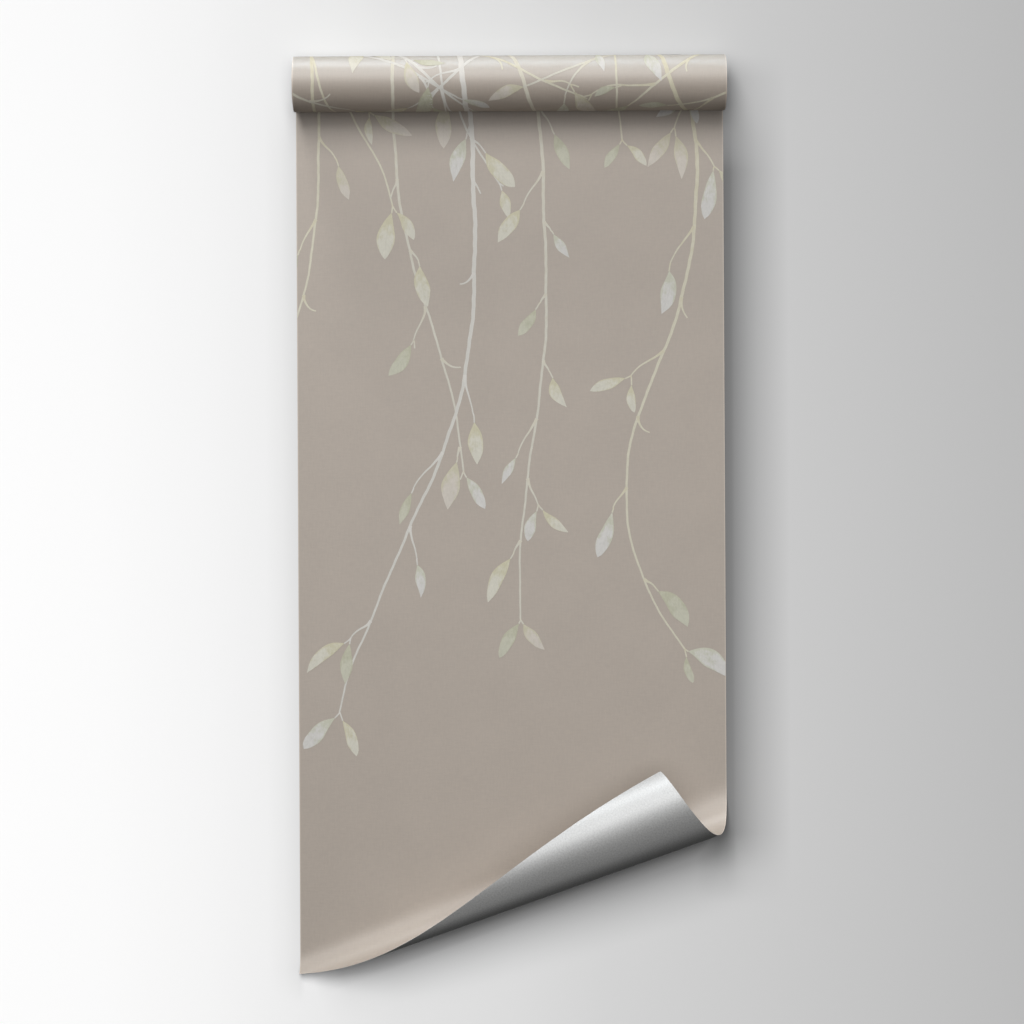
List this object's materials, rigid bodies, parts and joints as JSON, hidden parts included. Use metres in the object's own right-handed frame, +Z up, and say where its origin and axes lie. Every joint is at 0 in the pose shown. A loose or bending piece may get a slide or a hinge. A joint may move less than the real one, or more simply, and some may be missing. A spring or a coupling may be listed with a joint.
{
  "type": "wallpaper roll",
  "caption": "Partly unrolled wallpaper panel, wound at one end, with one corner of its loose end curled up and a trailing-twig print.",
  "frame": {"origin": "centre of the object's footprint, on the surface that it lies on", "axes": "+Y along the panel towards its wound roll, +X across its width towards the curled corner's side, +Z up"},
  "size_m": [0.5308, 1.1317, 0.0991],
  "materials": {
    "printed_face": "matt taupe ground with a fine grain",
    "backing": "satin silver-grey",
    "print": "matt ink in pale sage, cream and blue-white"
  },
  "bodies": {
    "root": {"wallpaper": "printed_face"}
  },
  "joints": []
}
